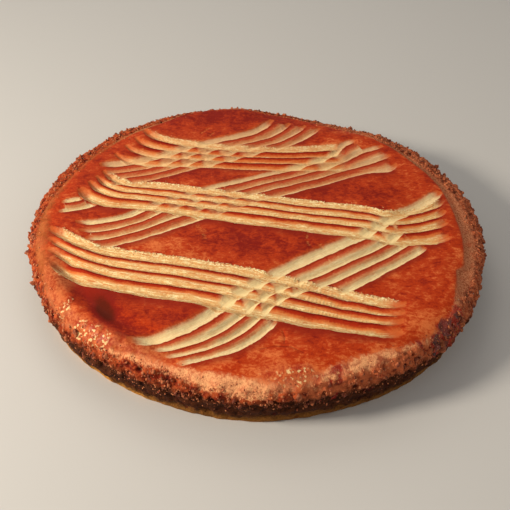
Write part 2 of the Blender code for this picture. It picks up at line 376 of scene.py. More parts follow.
leftCrossStroke = {
    "stations": (
        (-88, 40.5, -80, 22.5), (-58.5, 52, -56, 31.5), (-38, 65, -30, 45.5), (-9, 79.5, 10, 66),
        (1, 88, 22, 74), (8, 97.5, 37, 90),
    ),
    "tines": (0, 0.38, 0.7, 1),
    "halfWidths": (3.5, 2.4, 2.4, 2.2),
    "tapers": (9, 10),
    "fades": (9, 14),
    "torn": 0,
    "soft": ((0, 1), (0.76, 0.74)),
    "crossedBy": (2, 0.45),
}
leftShortStroke = {
    "stations": ((-101.5, 4, -101.5, -4), (-95.5, 6.5, -91.5, 0.5), (-89, 9.5, -81.5, 6)),
    "tines": (0, 1),
    "halfWidths": (2.0, 2.0),
    "tapers": (6, 6),
    "fades": (6, 6),
    "torn": 0,
    "soft": ((0, 1), (0.7, 0.7)),
    "crossedBy": (1, 1.0),
}
# The strokes that run from side to side and those that cross them
strokeFamilies = {
    "long": (frontStroke, middleStroke, rearStroke),
    "cross": (rightCrossStroke, middleCrossStroke, leftCrossStroke, leftShortStroke),
}


def smoothStep(start, end, value):
    share = np.clip((value - start) / (end - start), 0, 1)
    return share * share * (3 - 2 * share)


def spots(x, y, z, cell, shift):
    # The places in cells, moved so that each seed meets another part of the noise
    places = np.stack(np.broadcast_arrays(x, y, z), axis=-1).reshape(-1, 3)
    return (places / cell + shift).tolist()


def mottle(x, y, z, cell, seed):
    # Smooth noise, mostly from -1 to 1, whose patches are about as wide as the cell
    values = np.array([noise.noise(spot) for spot in spots(x, y, z, cell, 31.7 * seed)])
    return 1.6 * values.reshape(np.shape(x))


def bump(value, middle, spread):
    # 1 at the middle, falling to 0 on both sides
    return np.exp(-(((value - middle) / spread) ** 2))


def arc(azimuth, start, end, fade):
    # 1 between two azimuths, falling to 0 outside them
    offset = np.abs((azimuth - (start + end) / 2 + 180) % 360 - 180)
    return 1 - smoothStep((end - start) / 2, (end - start) / 2 + fade, offset)


def roundTable(table, azimuth, softening):
    # A radius that is given at a few azimuths, joined and softened all the way round
    degrees = np.arange(360)
    joined = np.interp(degrees, list(table), list(table.values()), period=360)
    weights = bump(np.arange(-softening, softening + 1), 0, softening / 2)
    wrapped = np.concatenate([joined[-softening:], joined, joined[:softening]])
    softened = np.convolve(wrapped, weights / weights.sum(), "valid")
    return np.interp(azimuth, degrees, softened, period=360)


def outlineRadius(azimuth):
    return roundTable(shape["outline"], azimuth, shape["outlineSoftening"])


def glazeRadius(azimuth):
    return roundTable(shape["glazeEdge"], azimuth, 2)


def roundPlace(x, y):
    # The azimuth, and the distance out, measured so that the rim is always at its mean radius
    azimuth = np.degrees(np.arctan2(y, x))
    return azimuth, np.hypot(x, y) * shape["rimRadius"] / outlineRadius(azimuth)


def clumps(x, y, z, size, seed):
    # Rounded crumbs packed side by side: 1 on top of each, below 0 in the cracks between them
    nearest = np.array([noise.voronoi(spot)[0][0] for spot in spots(x, y, z, size, 17.3 * seed)])
    return (1 - (nearest / 0.62) ** 2).clip(-1, 1).reshape(np.shape(x))


def crumbPattern(x, y, z):
    # Large crumbs, small crumbs and the pits between them
    pits = smoothStep(0.35, 0.7, mottle(x, y, z, 3.4, 11))
    return clumps(x, y, z, 2.8, 1), clumps(x, y, z, 1.4, 2), pits


def crumbDepth(x, y, z, reach, start):
    # Outward relief of the crumbly rim and side
    large, small, pits = crumbPattern(x, y, z)
    return smoothStep(start - 1.0, start + 2.0, reach) * (0.55 * large + 0.30 * small - 0.25 - 0.8 * pits)


def strokeCurve(stations, pointsPerSpan=40):
    fixed = np.array(stations, float)
    fixed = np.vstack([2 * fixed[0] - fixed[1], fixed, 2 * fixed[-1] - fixed[-2]])
    spans = []
    for first, second, third, fourth in zip(fixed, fixed[1:], fixed[2:], fixed[3:]):
        t = np.linspace(0, 1, pointsPerSpan)[:, None]
        spans.append(0.5 * (2 * second + (third - first) * t
                            + (2 * first - 5 * second + 4 * third - fourth) * t ** 2
                            + (3 * second - first - 3 * third + fourth) * t ** 3))
    return np.vstack(spans)


# How the tines cut
fork = {
    "usualHalfWidth": 2.4,  # mm; a wider groove is a little deeper
    "waver": 0.12,          # how much the width of a groove varies along it
    "waverLength": 9.0,     # mm
    "gapFade": 0.04,        # share of a stroke over which a groove stops and starts again
    "margin": 8.0,          # mm beside its curve that a groove can reach
    "batch": 4000,          # places worked out together
    "tineStart": 60,        # mm along the streaks between two tines, and between two strokes
    "strokeStart": 300,
}


def grooveEnds(stroke, tine, run, progress):
    # Along one groove, 0 at its ends and 1 between them: how deep it is, and how bare its dough is
    shares = []
    for start, end in (stroke["tapers"], stroke["fades"]):
        share = smoothStep(0, start, run) * smoothStep(0, end, run[-1] - run)
        for gapTine, gapStart, gapEnd in stroke.get("gaps", ()):
            if gapTine == tine:
                gone = (smoothStep(gapStart - fork["gapFade"], gapStart, progress)
                        * (1 - smoothStep(gapEnd, gapEnd + fork["gapFade"], progress)))
                share *= 1 - gone
        shares.append(share)
    return shares


def tineGroove(stroke, number, tine, curve, progress):
    # One groove of a stroke, at each point of its curve
    place = stroke["tines"][tine]
    lane = curve[:, :2] * (1 - place) + curve[:, 2:] * place
    run = np.concatenate([[0], np.cumsum(np.linalg.norm(np.diff(lane, axis=0), axis=1))])
    strength, bare = grooveEnds(stroke, tine, run, progress)
    waver = mottle(lane[:, 0], lane[:, 1], 0, fork["waverLength"], 20 + number)
    width = stroke["halfWidths"][tine] * (1 + fork["waver"] * waver)
    width *= 0.5 + 0.5 * strength ** 0.6
    heading = np.gradient(lane, axis=0)
    heading /= np.linalg.norm(heading, axis=1)[:, None]
    return {
        "lane": lane, "run": run, "heading": heading, "width": width, "strength": strength, "bare": bare}


def measured(groove, x, y):
    # The nearest point of a groove's curve, and the distance across the groove and in all, in half widths
    gapX = x[:, None] - groove["lane"][None, :, 0]
    gapY = y[:, None] - groove["lane"][None, :, 1]
    closest = (gapX ** 2 + gapY ** 2).argmin(axis=1)
    row = np.arange(len(x))
    offsetX = gapX[row, closest]
    offsetY = gapY[row, closest]
    headingX, headingY = groove["heading"][closest].T
    width = groove["width"][closest]
    across = (headingX * offsetY - headingY * offsetX) / width
    return closest, across, np.hypot(offsetX, offsetY) / width


class Strips:
    # Places in the strips between the grooves' sharp edges, as shares from the far edge to the near one
    def __init__(self, count):
        self.share = np.full(count, 0.06)
        self.behind = np.full(count, np.nan)  # place against the sharp edge of the groove behind, below 0
        self.found = np.zeros(count, bool)

    def passGroove(self, part, cut, edge, width):
        # The grooves are passed from the rear to the front
        behind = self.behind[part]
        ahead = cut & ~self.found[part] & (edge >= 0)
        alone = 0.55 + 0.45 * np.clip(1 - edge / (2 * width + 1.5), 0, 1)
        self.share[part[ahead]] = np.where(np.isnan(behind), alone, behind / (behind - edge))[ahead]
        self.found[part[ahead]] = True
        passed = cut & ~self.found[part] & (edge < 0)
        self.behind[part[passed]] = edge[passed]

    def finish(self):
        # Gives the shares, and 1 for each place between two grooves
        last = ~self.found & ~np.isnan(self.behind)
        self.share[last] = np.clip(-self.behind[last] / 6, 0, 0.15)
        return self.share, (self.found & ~np.isnan(self.behind)).astype(float)


def strokeMarks(stroke, number, x, y, ragged, hidden):
    # What one stroke leaves at each place:
    # cut       fourth power of the depth
    # inside    how far inside a groove, 1 at its middle, 0 at its edge
    # side      across the groove, below 0 towards the front
    # travel    distance along the stroke
    # torn      how torn the far edge is
    # turn      place in the strip between two sharp edges, as a share from the far one to the near one
    # soft      share of the strip that the fade to bare dough takes
    # ridge     1 between two grooves
    # fresh     0 where the stroke has run out
    marks = {name: np.zeros_like(x) for name in ("cut", "side", "travel", "torn", "soft", "fresh")}
    marks["inside"] = np.full_like(x, -2.0)
    between = Strips(len(x))
    curve = strokeCurve(stroke["stations"])
    progress = np.linspace(0, 1, len(curve))
    softness = np.interp(progress, *stroke["soft"])
    for tine, halfWidth in enumerate(stroke["halfWidths"]):
        groove = tineGroove(stroke, number, tine, curve, progress)
        deeper = (halfWidth / fork["usualHalfWidth"]) ** 0.3
        lowX, lowY = groove["lane"].min(axis=0) - fork["margin"]
        highX, highY = groove["lane"].max(axis=0) + fork["margin"]
        near = np.flatnonzero((x > lowX) & (x < highX) & (y > lowY) & (y < highY))
        for part in np.array_split(near, len(near) // fork["batch"] + 1):
            closest, across, share = measured(groove, x[part], y[part])
            strength = groove["strength"][closest]
            width = groove["width"][closest]
            share = share + ragged[part] * smoothStep(0.5, 1, share)
            wall = np.clip(share, 0, 1)
            wall = np.where(across > 0, (1 - wall ** 1.5) ** 1.5, (1 - wall ** 2.2) ** 1.2)
            depth = shape["grooveDepth"] * np.sqrt(strength) * deeper * wall
            marks["cut"][part] += (depth * (1 - 0.6 * hidden[part])) ** 4
            closer = np.where(strength > 0.01, 1 - share, -2)
            better = closer > marks["inside"][part]
            chosen = part[better]
            marks["inside"][chosen] = closer[better]
            marks["side"][chosen] = np.clip(across[better], -3, 3)
            marks["travel"][chosen] = (groove["run"][closest][better] + fork["tineStart"] * tine
                                       + fork["strokeStart"] * number)
            marks["torn"][chosen] = stroke["torn"] if tine == 0 else 0.5 * stroke["torn"]
            marks["fresh"][chosen] = (groove["bare"][closest] * (1 - hidden[part]))[better]
            marks["soft"][chosen] = softness[closest][better]
            between.passGroove(part, strength > 0.1, (across + 1) * width, width)
    marks["turn"], marks["ridge"] = between.finish()
    return marks


def grooveFields(x, y):
    # The depth of the cut at each place, and the marks of the nearest stroke of each family
    ragged = 0.07 * mottle(x, y, 0, 2.4, 40) + 0.05 * mottle(x, y, 0, 1.1, 41)
    total = np.zeros_like(x)
    covered = []
    fields = {}
    number = 0
    for family, strokes in strokeFamilies.items():
        nearest = None
        for stroke in strokes:
            hidden = np.zeros_like(x)
            if "crossedBy" in stroke:
                above, share = stroke["crossedBy"]
                hidden = share * covered[above]
            marks = strokeMarks(stroke, number, x, y, ragged, hidden)
            total += marks.pop("cut")
            covered.append(np.maximum(smoothStep(-0.3, 0.0, marks["inside"]), marks["ridge"]))
            if nearest is None:
                nearest = marks
            won = marks["inside"] > nearest["inside"]
            for name, values in marks.items():
                nearest[name] = np.where(won, values, nearest[name])
            number += 1
        angle = 2 * np.pi * nearest.pop("turn")
        nearest["swing"] = np.cos(angle)
        nearest["wave"] = np.sin(angle)
        fields.update({family + name.capitalize(): values for name, values in nearest.items()})
    return total ** 0.25, fields


def plainTop(x, y):
    # The top without its grooves
    azimuth, reach = roundPlace(x, y)
    swell = bump(reach, shape["swellRadius"], shape["swellSpread"])
    height = shape["lidHeight"] + shape["swellHeight"] * swell
    # Low waves, then the forms of the border
    height += 0.5 * mottle(x, y, 0, 42.0, 3) + 0.25 * mottle(x, y, 0, 17.0, 4)
    puffy, rear, dip = shape["puffyBorder"], shape["rearBump"], shape["rearDip"]
    crest = puffy["rise"] * bump(reach, *puffy["crest"])
    valley = puffy["fall"] * bump(reach, *puffy["valley"])
    height += arc(azimuth, *puffy["span"]) * (crest - valley)
    height += rear["rise"] * arc(azimuth, *rear["span"]) * bump(reach, *rear["crest"])
    height -= dip["fall"] * arc(azimuth, *dip["span"]) * smoothStep(*dip["slope"], reach)
    # The step where the lid ends, and the shoulder
    lipInside = 1 - smoothStep(108, shape["rimRadius"], reach)
    edge = glazeRadius(azimuth)
    step = sum(fall * arc(azimuth, *span) for fall, span in shape["steps"])
    height -= step * smoothStep(edge - 0.6, edge + 1.5, reach) * lipInside
    share = np.clip((reach - shape["lidRadius"]) / (shape["rimRadius"] - shape["lidRadius"]), 0, 1)
    power = shape["shoulderPower"]
    fall = shape["lidHeight"] + shape["swellHeight"] - shape["rimHeight"]
    drop = fall * (1 - (1 - share ** power) ** (1 / power))
    return np.maximum(height - drop, shape["rimHeight"])


# Marks on the glaze: x, y, x, y, half width, depth; a scuff shows pale dough, a crease only folds the glaze
# and is darkened with painted shade
scuffs = (
    (25.5, -15, 25, -18, 0.8, 0.3), (25, -21, 26, -24, 0.9, 0.3), (31, -23, 32.5, -25, 1.3, 0.3),
    (-29, -11, -26, -15, 2.4, 0.25), (-26, -17, -25, -21, 1.6, 0.25), (-34, 79, -30, 85, 0.9, 0.3),
    (-29, 76, -27, 80, 0.7, 0.3),
)
creases = (
    (12.5, -84, 13.5, -88, 0.5, 0.3), (13.5, -88, 13, -92, 0.5, 0.3), (3, -95.5, 9, -93.5, 0.5, 0.3),
    (9, -93.5, 16, -94, 0.5, 0.35), (16, -94, 21, -97, 0.5, 0.3), (36, -88, 42, -90, 0.6, 0.2),
)


def markField(lines, x, y):
    total = np.zeros_like(x)
    for startX, startY, endX, endY, halfWidth, depth in lines:
        alongX = endX - startX
        alongY = endY - startY
        part = ((x - startX) * alongX + (y - startY) * alongY) / (alongX ** 2 + alongY ** 2)
        part = np.clip(part, 0, 1)
        gap = np.hypot(x - startX - part * alongX, y - startY - part * alongY)
        total = np.maximum(total, depth * np.exp(-(gap / halfWidth) ** 2))
    return total


# Fine relief of the top: heights in mm
topRelief = {"streaks": 0.14, "burrs": 0.35, "grains": 0.10, "wrinkles": 0.06, "puffyWrinkles": 0.30}


def topHeight(x, y):
    azimuth, reach = roundPlace(x, y)
    depth, groove = grooveFields(x, y)
    crossed = groove["crossInside"] > groove["longInside"]
    inside, side, travel, torn = (np.where(crossed, groove["cross" + name], groove["long" + name])
                                  for name in ("Inside", "Side", "Travel", "Torn"))
    kept = 1 - smoothStep(103, 110, reach)
    height = plainTop(x, y) - depth * kept
    # Streaks the tines left along each groove, and the burr they pushed up on its far edge
    streak = mottle(travel / 7, side * 2.6, 0, 1.0, 50)
    height += topRelief["streaks"] * streak * smoothStep(0.02, 0.25, inside) * kept
    grains = clumps(x, y, 0, 1.3, 5)
    burr = topRelief["burrs"] * grains * smoothStep(0.5, 1, torn) * bump(inside, 0.0, 0.2)
    height += burr * smoothStep(0, 0.3, side) * kept
    height += topRelief["grains"] * grains * smoothStep(0.1, 0.3, inside) * kept
    height -= markField(scuffs, x, y) + markField(creases, x, y)
    # Fine wrinkles of the baked glaze, strong on the puffy border at the front left
    puffy = arc(azimuth, 204, 243, 8) * smoothStep(104, 108, reach)
    height += (topRelief["wrinkles"] * mottle(x, y, 0, 3.2, 52)
               + topRelief["puffyWrinkles"] * puffy * mottle(x, y, 0, 2.6, 53))
    return height


def discPoints(cells):
    line = np.linspace(-1, 1, cells + 1)
    u, v = np.meshgrid(line, line, indexing="ij")
    wide = np.abs(u) > np.abs(v)
    reach = np.where(wide, u, v)
    safe = np.where(reach == 0, 1, reach)
    turn = np.where(wide, np.pi / 4 * v / safe, np.pi / 2 - np.pi / 4 * u / safe)
    return reach * np.cos(turn), reach * np.sin(turn)


def gridBorder(cells):
    right = [(cells, row) for row in range(cells)]
    far = [(column, cells) for column in range(cells, 0, -1)]
    left = [(0, row) for row in range(cells, 0, -1)]
    near = [(column, 0) for column in range(cells)]
    return right + far + left + near


def sidePoint(azimuth, share):
    # Down the outside: the edge of the lid at share 0, the widest level at one half, the base at 1
    over = np.clip(share / 0.5, 0, 1) * np.pi / 2
    under = np.clip((share - 0.5) / 0.5, 0, 1)
    reach = (shape["lidRadius"] + (shape["rimRadius"] - shape["lidRadius"]) * np.sin(over)
             - (shape["rimRadius"] - shape["baseRadius"]) * under ** 1.2)
    radius = reach * outlineRadius(azimuth) / shape["rimRadius"]
    turn = np.radians(azimuth)
    x = radius * np.cos(turn)
    y = radius * np.sin(turn)
    z = np.where(share < 0.5, topHeight(x, y), shape["rimHeight"] * (1 - under))
    crumb = mottle(x, y, z, 5.5, 7) + 0.7 * mottle(x, y, z, 3.0, 8)
    foot = 1 - 0.7 * smoothStep(0.9, 1, share)
    start = roundTable(shape["crumbStart"], azimuth, 2)
    fine = crumbDepth(x, y, z, np.where(share < 0.5, reach, 120), start)
    fine = fine * (1 - 0.85 * smoothStep(0.56, 0.74, share))
    relief = shape["crumbRelief"] * crumb * (smoothStep(0.12, 0.42, share) * foot) + fine * foot
    relief = np.minimum(relief, shape["reliefLimit"])
    outward = relief * np.sin(over)
    return x + outward * np.cos(turn), y + outward * np.sin(turn), z + relief * np.cos(over)


def cakeShell():
    cells = shape["topCells"]
    unitX, unitY = discPoints(cells)
    azimuth = np.degrees(np.arctan2(unitY, unitX))
    outline = outlineRadius(azimuth) / shape["rimRadius"]
    stretch = shape["lidRadius"] * (1 + (outline - 1) * np.hypot(unitX, unitY) ** 4)
    topX = (unitX * stretch).ravel()
    topY = (unitY * stretch).ravel()
    points = [np.column_stack([topX, topY, topHeight(topX, topY)])]
    corner = np.arange((cells + 1) ** 2).reshape(cells + 1, cells + 1)
    quads = [np.column_stack([corner[:-1, :-1].ravel(), corner[1:, :-1].ravel(),
                              corner[1:, 1:].ravel(), corner[:-1, 1:].ravel()])]
    border = gridBorder(cells)
    inner = np.array([corner[column, row] for column, row in border])
    borderAzimuth = np.array([azimuth[column, row] for column, row in border])
    for ring in range(1, shape["sideRings"] + 1):
        share = np.full(len(inner), ring / shape["sideRings"])
        points.append(np.column_stack(sidePoint(borderAzimuth, share)))
        outer = len(topX) + (ring - 1) * len(border) + np.arange(len(border))
        quads.append(np.column_stack([inner, outer, np.roll(outer, -1), np.roll(inner, -1)]))
        inner = outer
    return np.vstack(points) * mm, np.vstack(quads)


def evaluated(holder):
    return bpy.data.meshes.new_from_object(holder.evaluated_get(bpy.context.evaluated_depsgraph_get()))


def placesOf(mesh):
    places = np.empty(len(mesh.vertices) * 3, np.float32)
    mesh.vertices.foreach_get("co", places)
    return places.reshape(-1, 3)


def addPiece(name, mesh):
    # Keep the piece inside the solid's box, then tie it to the cake
    low, high = (np.array(corner) for corner in cadBounds)
    mesh.vertices.foreach_set("co", np.clip(placesOf(mesh), low, high).ravel())
    mesh.update()
    piece = placed(name, mesh)
    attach(piece, "root")
    return piece


def thinnedBody():
    points, quads = cakeShell()
    print("cake shell of", len(quads), "quads")
    sheet = bpy.data.meshes.new("sheet")
    sheet.from_pydata(points.tolist(), [], quads.tolist())
    helper = placed("sheet", sheet)
    decimate = helper.modifiers.new("thin", "DECIMATE")
    decimate.ratio = shape["triangles"] / (2 * len(quads))
    mesh = evaluated(helper)
    bpy.data.objects.remove(helper)
    body = bmesh.new()
    body.from_mesh(mesh)
    lowerEdge = [edge for edge in body.edges if edge.is_boundary]
    for edge in lowerEdge:
        for vertex in edge.verts:
            vertex.co.z = 0
    bmesh.ops.holes_fill(body, edges=lowerEdge)
    bmesh.ops.recalc_face_normals(body, faces=body.faces)
    bmesh.ops.triangulate(body, faces=body.faces)
    body.to_mesh(mesh)
    body.free()
    mesh.shade_smooth()
    mesh.set_sharp_from_angle(angle=math.radians(75))
    mesh.name = "cakeBody"
    return mesh


# Lighter and darker places of the glaze: x, y, reach along x and along y, turn in degrees, amount, which is
# below 0 for a darker place; the darkest, at the front left, are painted shade in the valley behind the
# puffy border
glazeTonesAndShade = (
    (-62, -24, 26, 9, -12, 0.55), (75, -75, 9, 12, 30, 0.75), (60, -93, 10, 5, 10, 0.55),
    (42, 70, 12, 4, 12, 0.9), (78, -60, 8, 5, 0, 0.4), (-82, -78, 14, 12, -40, 0.35),
    (60, -42, 26, 12, 8, 0.15), (100, -40, 10, 26, 0, 0.3), (20, -106, 30, 6, 0, 0.35),
    (5, -98, 40, 10, 0, 0.3), (-67, -71, 17, 6, -62, -1.7), (-65.5, -75, 7, 3.5, -62, -0.9),
    (-82, -55, 12, 14, 0, -0.5), (-50, -87, 10, 6, -30, -0.6), (8, -25, 40, 9, -10, -0.6),
    (55, 22, 34, 8, -8, -0.45), (-22, 34, 32, 6, -8, -0.6), (25, -92, 16, 8, 0, -0.25),
    (-15, 97, 60, 12, 0, -0.7), (-88, 8, 12, 6, 20, 0.2), (-40, -76, 24, 10, -15, -0.15),
)


def toneAndShadeField(x, y):
    total = np.zeros_like(x)
    for middleX, middleY, reachX, reachY, turn, amount in glazeTonesAndShade:
        cosine = math.cos(math.radians(turn))
        sine = math.sin(math.radians(turn))
        u = ((x - middleX) * cosine + (y - middleY) * sine) / reachX
        v = ((y - middleY) * cosine - (x - middleX) * sine) / reachY
        total += amount * np.exp(-(u ** 2 + v ** 2))
    return total


# Places where the glaze stayed wet, glossier and speckled with painted highlights: x, y, reach, strength
wetSpots = (
    (-84, -73, 3.5, 1), (-82, -69, 2.5, 1), (-75, -83.5, 4, 1), (-68.5, -87, 4.5, 1), (-74, -87.5, 3.5, 1),
    (-64, -91, 4, 1), (-67, -92.5, 3.5, 1), (-90, -50, 2.5, 1), (18.8, -107.8, 4.4, 1), (22, -106, 3.2, 1),
    (15.3, -107, 1.8, 0.8), (26, -107.5, 2.4, 0.8), (12, -108.5, 7, 0.5), (6, -108.5, 6, 0.4),
)


def wetField(x, y):
    total = np.zeros_like(x)
    for middleX, middleY, wide, strength in wetSpots:
        spot = strength * np.exp(-((x - middleX) ** 2 + (y - middleY) ** 2) / wide ** 2)
        total = np.maximum(total, spot)
    return total


# Leaked fruit filling that soaked the rim: azimuth, distance out when the rim is at 115, half the width
# along the rim and across it, strength
jamLeaks = (
    (-41.0, 112.0, 9.0, 5.0, 1.4), (-45.5, 114.0, 5.0, 4.0, 1.25), (-36.5, 112.5, 4.0, 3.5, 1.25),
    (-50.5, 111.5, 4.0, 2.5, 0.7), (-72.2, 109.8, 4.8, 3.4, 0.78), (-70.2, 107.4, 3.2, 2.4, 0.70),
    (-74.8, 111.2, 3.0, 2.0, 0.64),
)


def jamField(x, y, z, reach, azimuth):
    total = np.zeros_like(x)
    for middle, place, halfLong, halfAcross, strength in jamLeaks:
        offset = (azimuth - middle + 180) % 360 - 180
        long = np.radians(offset) * shape["rimRadius"] / halfLong
        across = (reach - place) / halfAcross
        total = np.maximum(total, strength * (1.25 - np.hypot(long, across)))
    return total + 0.35 * mottle(x, y, z, 3.0, 70) * (total > 0)


def regionFields(azimuth, y):
    # How far each place belongs to a side of the cake, from 0 to 1
    spans = {
        "front": (235, 322, 14), "right": (-30, 70, 14), "left": (146, 206, 12),
        "frontLeft": (205, 246, 8), "frontRight": (284, 316, 8),
    }
    regions = {name: arc(azimuth, *span) for name, span in spans.items()}
    return {**regions, "rear": smoothStep(0, 50, y)}


def crumbFields(x, y, z, reach, start):
    # Where each kind of crumb lies, and the relief of the crumbly rim
    large, small, pits = crumbPattern(x, y, z)
    return {
        "crumbs": smoothStep(start - 1, start + 2, reach) * smoothStep(11, 17, z),
        "grit": smoothStep(start - 4, start + 1, reach) * smoothStep(6, 15, z),
        "flakes": smoothStep(113, 115, reach) * smoothStep(11, 15, z) * (1 - smoothStep(22, 25, z)),
        "crag": large * 0.6 + small * 0.4 - pits,
    }


def nameFields(mesh):
    # What the materials and the crumbs need to know about each point of the surface
    x, y, z = (placesOf(mesh) / mm).T.astype(float)
    azimuth, reach = roundPlace(x, y)
    onTop = z > shape["rimHeight"]
    groove = grooveFields(x, y)[1]
    for family in strokeFamilies:
        groove[family + "Inside"] = np.where(onTop & (reach < 110), groove[family + "Inside"], -2)
    burrs = bump(groove["longInside"], 0.05, 0.2) * smoothStep(0.2, 0.8, groove["longSide"]) * onTop
    burrs *= smoothStep(0.6, 0.9, groove["longTorn"])
    burrs *= smoothStep(-0.2, 0.4, mottle(x, y, 0, 8.0, 60))
    # The edge of the glaze is blurred on the left and at the front
    blurred = 1 + 2.5 * arc(azimuth, 150, 208, 12) + 1.0 * arc(azimuth, 250, 310, 10)
    start = roundTable(shape["crumbStart"], azimuth, 2)
    fields = {
        **groove, **regionFields(azimuth, y), **crumbFields(x, y, z, reach, start),
        # Distance inside the edge of the glaze, and outside the place where the crumbs start
        "glaze": np.where(onTop, (glazeRadius(azimuth) - reach) / blurred, -20),
        "rim": np.where(onTop, reach - start, 10),
        "low": 1 - z / shape["rimHeight"],
        # lighter and darker glaze, with painted shade in the valley at the front left
        "tone": toneAndShadeField(x, y),
        "scuff": markField(scuffs, x, y),
        "crease": markField(creases, x, y),
        "burrs": burrs,
        "wet": wetField(x, y) * (z > 21),
        "jam": jamField(x, y, z, reach, azimuth) * (z > 12),
    }
    for name, values in fields.items():
        mesh.attributes.new(name, "FLOAT", "POINT").data.foreach_set("value", values.astype(np.float32))


# The crust's material: pairs of colours that a noise or a region blends, and colours laid over them
# Several of these paint light and shade: the crumb pair's dark end, part of the side pair, and the colours
# for the glaze's valley, the crevices, the lip's cracks, the crumbs' tops, the crossing strips, the foot's
# highlight, the wet glaze's specks, the glints, the dough's highlights and the strips' shadow
crustPairs = {
    "glaze": ("861808", "b8380c"), "swelling": ("9c3a18", "cc7442"), "dough": ("f0dca2", "dcae72"),
    "lip": ("b9774a", "fcb27a"), "right lip": ("9e4826", "ea9c70"), "left lip": ("984416", "bc6634"),
    "crumb": ("380d06", "802410"), "side": ("220b05", "5a2c14"), "syrup": ("a8301a", "d8703e"),
    "thick juice": ("300a08", "86302a"), "thin juice": ("90180e", "b8402c"),
}
crustPaint = {
    "light glaze": "e0743c", "valley shade": "501500", "glaze speck": "eda05c", "scuff": "dc8a4a",
    "crease": "5c1206", "dough grain": "d49456", "dough speck": "c88448", "dough patch": "e0ac6c",
    "dough scratch": "c4642f", "dough highlight": "fff2bc", "creamy dough": "f0deac",
    "rosy dough": "d8966c", "strip fringe": "c8602c", "strip sparkle": "ffeeb8", "strip shadow": "8a1c08",
    "groove end": "cc6630", "crossing light": "f6d896", "lip grain": "a04424", "lip speck": "8a3a1a",
    "lip patch": "c8603c", "rosy lip": "b4503a", "lip crack shade": "9a3018", "crumb top light": "c2582c",
    "crumb patch": "8a3a18", "front right crumb light": "cc6c42", "crevice shade": "5a170b", "foot": "946028",
    "foot highlight": "cc8c3c", "glint": "dcae9c", "wet highlight": "ffdc9c",
}
# Each family's strips: colours from the sharp edge on, how creamy the dough is, how rosy at the rear
stripLooks = {
    "long": {"deep": "7c1003", "middle": "a82a0c", "light": "d27238", "creamy": 0.0, "rosy": 0.25},
    "cross": {"deep": "962808", "middle": "bc4828", "light": "d48c5a", "creamy": 0.6, "rosy": 0.5},
}


class Crust:
    # What the parts of the crust's material share: the body's fields, noises, paints and the glaze's edge
    def __init__(self, place):
        self.place = place
        self.grain = place.clouds(1.2, 3.0, 0.65)
        self.fine = place.clouds(0.55, 2.0, 0.6)
        self.patch = place.clouds(6, 4.0, 0.62, 0.8)
        self.crag = self.ragged(self.field("crag"), grain=0.8, fine=0.5)
        self.edge = self.ragged(self.field("glaze"), grain=1.6, patch=2.5).between(-0.7, 0.7)

    def field(self, name):
        return self.place.node("ShaderNodeAttribute", {"attribute_name": name}, {}, "Fac")

    def ragged(self, signal, grain=0, fine=0, patch=0):
        # The signal with its edges broken up by the noises
        for cloud, amount in ((self.patch, patch), (self.grain, grain), (self.fine, fine)):
            if amount:
                signal = signal + (cloud - 0.5) * amount
        return signal

    def blotches(self, grainShare, low, high):
        return (self.grain * grainShare + self.patch * (1 - grainShare)).between(low, high)

    def pair(self, share, name):
        dark, light = crustPairs[name]
        return share.blend(tint(dark), tint(light))

    def layered(self, colour, *layers):
        for share, name in layers:
            colour = colour.towards(tint(crustPaint[name]), share)
        return colour


def glazeColour(crust):
    # Deep red brown with brush marks, orange in patches, and painted shade deepening the valley behind the
    # puffy border
    broad = crust.place.clouds(24, 3.0, 0.55)
    brushed = crust.place.stretched(0.5, 1, 1).clouds(1.6, 4.0, 0.62, 0.8)
    tone = crust.ragged(crust.field("tone"), grain=1.1, fine=0.5, patch=2.0)
    tone = tone + (broad - 0.5) * 1.7 + (brushed - 0.5) * 2.1
    # painted shade: where the tones are darkest, in the valley at the front left, the glaze is darkened
    # further
    valleyShade = crust.ragged(crust.field("tone"), grain=0.6, patch=1.0).between(-0.9, -2.1)
    speckle = crust.place.clouds(0.8, 2.0).between(0.68, 0.80) * tone.between(-0.5, 0.6)
    return crust.layered(
        crust.pair(tone.between(-0.9, 0.15), "glaze"),
        (tone.between(0.0, 1.0), "light glaze"),
        (valleyShade * 0.85, "valley shade"),
        (speckle * 0.45, "glaze speck"))


def doughColour(crust, along, streak, looks):
    # Bare dough with the streaks and scratches that the tines left in it, and painted highlight streaks
    # along it
    scratch = along.stretched(0.5, 2.2, 1).clouds(1.0, 2.0).between(0.56, 0.68)
    highlightStreaks = along.stretched(1.6, 2.0, 1).clouds(1.0, 2.0).between(0.56, 0.66)
    return crust.layered(
        crust.pair(streak.between(0.32, 0.62), "dough"),
        (crust.grain.between(0.44, 0.64) * 0.75, "dough grain"),
        (crust.fine.between(0.50, 0.66) * 0.5, "dough speck"),
        (crust.place.clouds(3.5, 2.0).between(0.45, 0.7) * 0.5, "dough patch"),
        (scratch * 0.75, "dough scratch"),
        (highlightStreaks * 0.7, "dough highlight"),
        (looks["creamy"], "creamy dough"),
        (crust.field("rear") * looks["rosy"], "rosy dough"))


